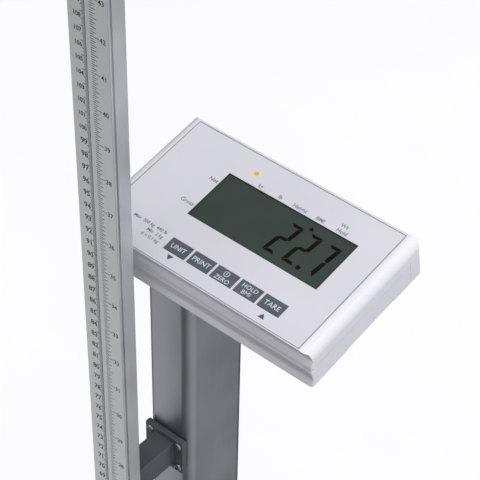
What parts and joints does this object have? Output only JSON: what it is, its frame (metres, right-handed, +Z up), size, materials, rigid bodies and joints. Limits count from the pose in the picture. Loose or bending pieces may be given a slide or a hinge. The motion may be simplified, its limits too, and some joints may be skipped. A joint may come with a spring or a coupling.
{
  "type": "physician scale",
  "caption": "Physician scale: weighing platform, column with a tilting display head, and a telescopic height rod with a folding measuring plate.",
  "frame": {"origin": "middle of the footprint on the floor, midway across and midway front to back", "axes": "+Z up, +X to the right of a person facing the display, -Y towards that person"},
  "size_m": [0.365, 0.48, 1.36],
  "materials": {
    "painted_steel": "satin powder coat, pale grey",
    "mat_rubber": "matt ribbed",
    "dark_rubber": "matt",
    "circuit_board": "green solder mask",
    "steel": "zinc plated",
    "light_plastic": "fine moulded texture, off-white",
    "dark_plastic": "fine moulded texture, dark grey",
    "key_plastic": "printed satin film, dark grey",
    "panel_film": "satin printed polyester, pale grey",
    "vial_plastic": "clear, yellow-green",
    "column_aluminium": "satin anodised",
    "rod_aluminium": "fine brushed, anodised",
    "clear_lens": "clear, gloss",
    "display": "reflective liquid crystal, grey-green",
    "lamp_lens": "diffusing, dull yellow",
    "battery": "shrink sleeve"
  },
  "bodies": {
    "base": {"base_frame": "painted_steel", "platform_tray": "painted_steel", "platform_mat": "mat_rubber", "junction_board": "circuit_board", "column_socket": "steel", "rear_deck": "light_plastic", "level_vial": "vial_plastic", "column_tube": "column_aluminium", "head_bracket": "steel", "tilt_pin": "steel", "rod_outer": "rod_aluminium", "rod_bottom_cap": "dark_plastic", "rod_standoff_lower": "dark_plastic", "rod_standoff_upper": "dark_plastic", "wheel_axle_left": "steel", "wheel_axle_right": "steel", "load_cell_front_left": "steel", "load_cell_front_right": "steel", "load_cell_rear_left": "steel", "load_cell_rear_right": "steel", "socket_bolt_1": "steel", "socket_bolt_2": "steel", "socket_bolt_3": "steel", "socket_bolt_4": "steel"},
    "head": {"head_yoke": "steel", "top_cover": "light_plastic", "bottom_housing": "light_plastic", "rear_cover": "light_plastic", "overlay_film": "panel_film", "display_lens": "clear_lens", "display_module": "display", "main_board": "circuit_board", "key_sheet": "dark_rubber", "status_lamp": "lamp_lens", "battery_pack": "battery", "port_plug": "dark_rubber", "housing_screw_1": "steel", "housing_screw_2": "steel", "housing_screw_3": "steel", "housing_screw_4": "steel"},
    "battery_door": {"battery_door": "light_plastic"},
    "tilt_knob": {"tilt_knob": "dark_plastic"},
    "inner_rod": {"rod_inner": "rod_aluminium", "rod_end_block": "rod_aluminium", "rod_top_cap": "dark_plastic"},
    "carriage": {"carriage": "dark_plastic", "head_plate_pin": "steel"},
    "measuring_plate": {"head_plate": "light_plastic"},
    "lock_screw": {"rod_lock_screw": "dark_plastic"},
    "key_unit": {"key_unit": "key_plastic"},
    "key_print": {"key_print": "key_plastic"},
    "key_zero": {"key_zero": "key_plastic"},
    "key_hold": {"key_hold": "key_plastic"},
    "key_tare": {"key_tare": "key_plastic"},
    "wheel_left": {"wheel_left": "dark_rubber"},
    "wheel_right": {"wheel_right": "dark_rubber"},
    "foot_front_left": {"foot_front_left": "dark_rubber"},
    "foot_front_right": {"foot_front_right": "dark_rubber"},
    "foot_rear_left": {"foot_rear_left": "dark_rubber"},
    "foot_rear_right": {"foot_rear_right": "dark_rubber"}
  },
  "joints": [
    {"name": "head_tilt", "type": "hinge", "parent": "base", "child": "head", "pos_m": [0.046, 0.181, 0.932], "axis": [1, 0, 0], "range_deg": [-10, 12]},
    {"name": "tilt_knob_turn", "type": "hinge", "parent": "base", "child": "tilt_knob", "pos_m": [0.0748, 0.181, 0.932], "axis": [1, 0, 0], "range_deg": [-90, 0]},
    {"name": "key_unit_press", "type": "slide", "parent": "head", "child": "key_unit", "axis": [0, 0.193, -0.9812], "range_m": [0, 0.0005], "stiffness_N_per_m": 800, "springref_m": -0.0002},
    {"name": "key_print_press", "type": "slide", "parent": "head", "child": "key_print", "axis": [0, 0.193, -0.9812], "range_m": [0, 0.0005], "stiffness_N_per_m": 800, "springref_m": -0.0002},
    {"name": "key_zero_press", "type": "slide", "parent": "head", "child": "key_zero", "axis": [0, 0.193, -0.9812], "range_m": [0, 0.0005], "stiffness_N_per_m": 800, "springref_m": -0.0002},
    {"name": "key_hold_press", "type": "slide", "parent": "head", "child": "key_hold", "axis": [0, 0.193, -0.9812], "range_m": [0, 0.0005], "stiffness_N_per_m": 800, "springref_m": -0.0002},
    {"name": "key_tare_press", "type": "slide", "parent": "head", "child": "key_tare", "axis": [0, 0.193, -0.9812], "range_m": [0, 0.0005], "stiffness_N_per_m": 800, "springref_m": -0.0002},
    {"name": "battery_door_slide", "type": "slide", "parent": "head", "child": "battery_door", "axis": [1, 0, 0], "range_m": [0, 0.045]},
    {"name": "inner_rod_slide", "type": "slide", "parent": "base", "child": "inner_rod", "axis": [0, 0, 1], "range_m": [0, 0.77]},
    {"name": "carriage_slide", "type": "slide", "parent": "inner_rod", "child": "carriage", "axis": [0, 0, 1], "range_m": [-0.61, 0]},
    {"name": "measuring_plate_fold", "type": "hinge", "parent": "carriage", "child": "measuring_plate", "pos_m": [0, 0.0805, 1.317], "axis": [1, 0, 0], "range_deg": [0, 90]},
    {"name": "lock_screw_turn", "type": "hinge", "parent": "base", "child": "lock_screw", "pos_m": [0, 0.11, 1.285], "axis": [0, 1, 0], "range_deg": [0, 180]},
    {"name": "wheel_left_spin", "type": "hinge", "parent": "base", "child": "wheel_left", "pos_m": [-0.16, 0.213, 0.035], "axis": [1, 0, 0], "continuous": true},
    {"name": "wheel_right_spin", "type": "hinge", "parent": "base", "child": "wheel_right", "pos_m": [0.16, 0.213, 0.035], "axis": [1, 0, 0], "continuous": true},
    {"name": "foot_front_left_level", "type": "slide", "parent": "base", "child": "foot_front_left", "axis": [0, 0, 1], "range_m": [-0.012, 0]},
    {"name": "foot_front_right_level", "type": "slide", "parent": "base", "child": "foot_front_right", "axis": [0, 0, 1], "range_m": [-0.012, 0]},
    {"name": "foot_rear_left_level", "type": "slide", "parent": "base", "child": "foot_rear_left", "axis": [0, 0, 1], "range_m": [-0.012, 0]},
    {"name": "foot_rear_right_level", "type": "slide", "parent": "base", "child": "foot_rear_right", "axis": [0, 0, 1], "range_m": [-0.012, 0]}
  ]
}
